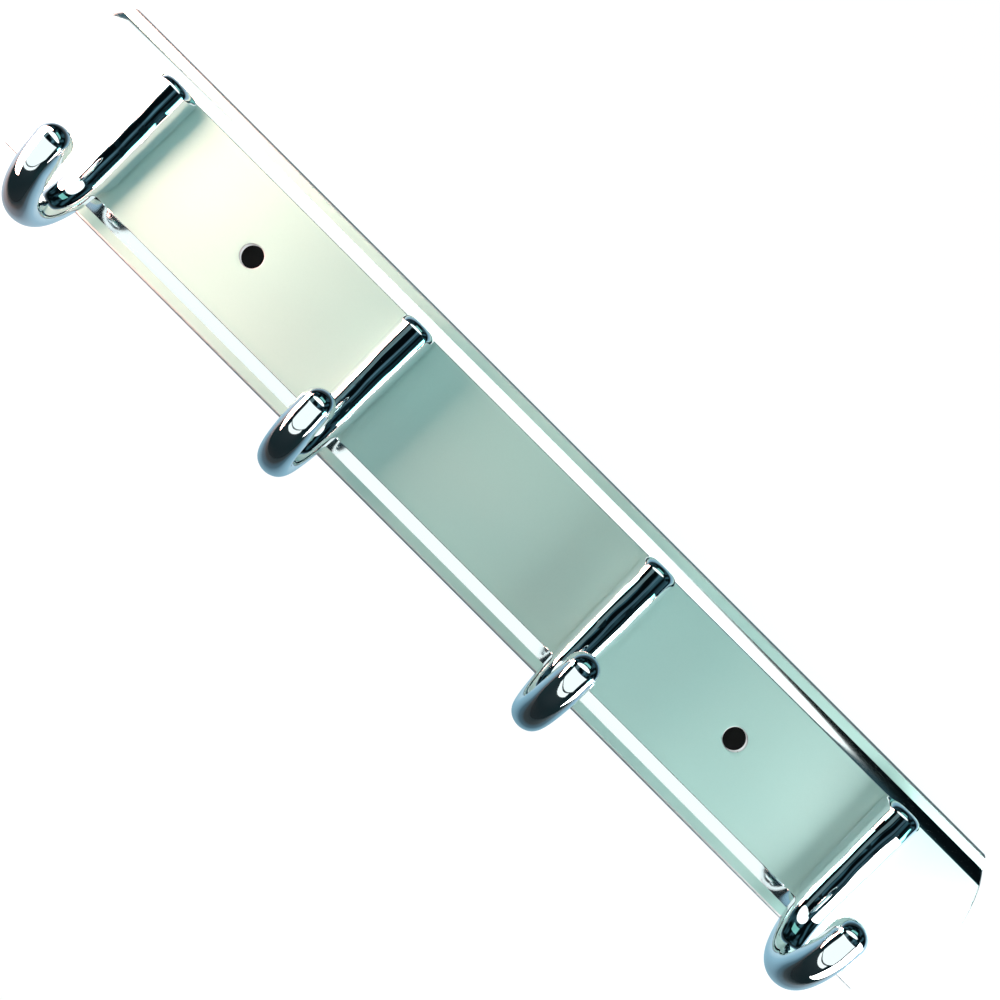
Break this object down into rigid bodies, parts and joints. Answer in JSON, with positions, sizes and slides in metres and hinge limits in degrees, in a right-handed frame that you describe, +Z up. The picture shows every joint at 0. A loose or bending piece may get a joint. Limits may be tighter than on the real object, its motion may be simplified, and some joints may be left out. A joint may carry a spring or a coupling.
{
  "type": "wall hook rack",
  "caption": "Satin metal rail with polished long edges and bowed ends, carrying a row of chromed J hooks screwed on from behind, with plain holes for wall screws.",
  "frame": {"origin": "middle of the rail's back, on the wall plane, midway between the two wall-screw holes", "axes": "+X along the rail to the right as seen from the front, +Z up, the front faces -Y, +Y points into the wall"},
  "size_m": [0.371, 0.0463, 0.0671],
  "materials": {
    "rail": "satin anodised face, polished edges",
    "hook": "mirror chrome",
    "screw": "zinc plated"
  },
  "bodies": {
    "root": {"rail": "rail", "hook_1": "hook", "hook_2": "hook", "hook_3": "hook", "hook_4": "hook", "hook_screw_1_upper": "screw", "hook_screw_1_lower": "screw", "hook_screw_2_upper": "screw", "hook_screw_2_lower": "screw", "hook_screw_3_upper": "screw", "hook_screw_3_lower": "screw", "hook_screw_4_upper": "screw", "hook_screw_4_lower": "screw"}
  },
  "joints": []
}
